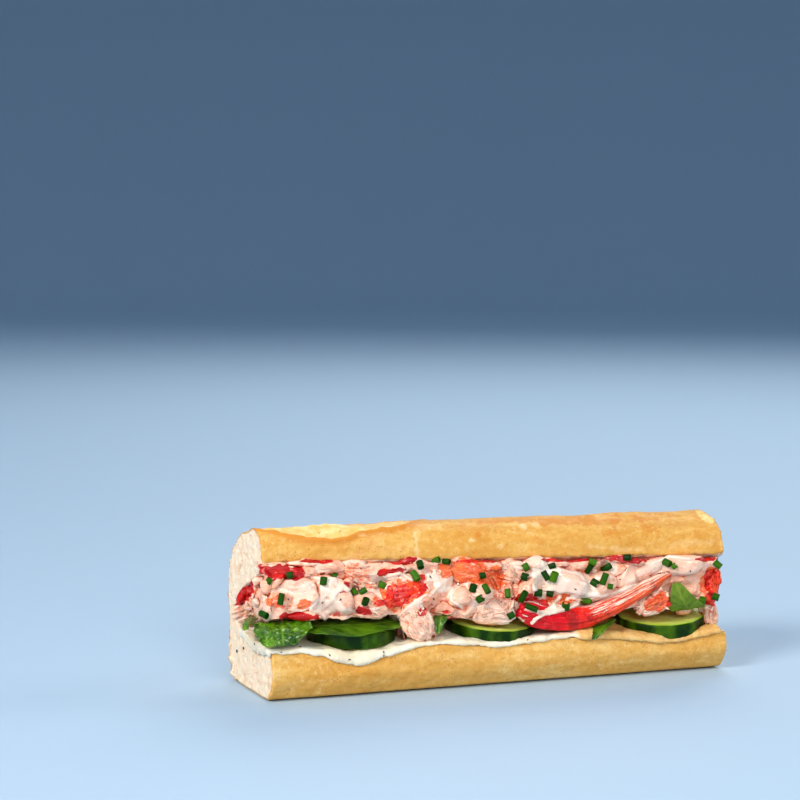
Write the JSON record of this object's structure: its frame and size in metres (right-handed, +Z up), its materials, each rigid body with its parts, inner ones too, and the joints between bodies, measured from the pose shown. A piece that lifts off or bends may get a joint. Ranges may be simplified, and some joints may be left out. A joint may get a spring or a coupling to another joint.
{
  "type": "lobster roll",
  "caption": "Slit baguette holding a lobster salad with chives over cucumber slices, green leaves and mayonnaise, open along its front and cut square at both ends.",
  "frame": {"origin": "middle of the roll's length and depth, on the surface that it rests on", "axes": "+X along the loaf, -Y towards the open front, +Z up"},
  "size_m": [0.2308, 0.066, 0.076],
  "materials": {
    "crust": "golden baked crust round a pale crumb",
    "mayonnaise": "cream-white spread, slightly wet",
    "cucumber": "dark green skin, pale wet face",
    "leaf": "thin green leaf, slightly glossy",
    "claw": "deep red skin with white streaks, wet",
    "lobster": "pale pink meat with red skin, cream dressing and green chives"
  },
  "bodies": {
    "root": {"bread": "crust", "spread": "mayonnaise", "cucumber_1": "cucumber", "cucumber_2": "cucumber", "cucumber_3": "cucumber", "leaf_over_cucumber": "leaf", "lettuce_frill": "leaf", "leaf_at_left_cut": "leaf", "leaf_between": "leaf", "leaf_under_cucumber": "leaf", "leaf_upright": "leaf", "claw_meat": "claw", "lobster_salad": "lobster"}
  },
  "joints": []
}
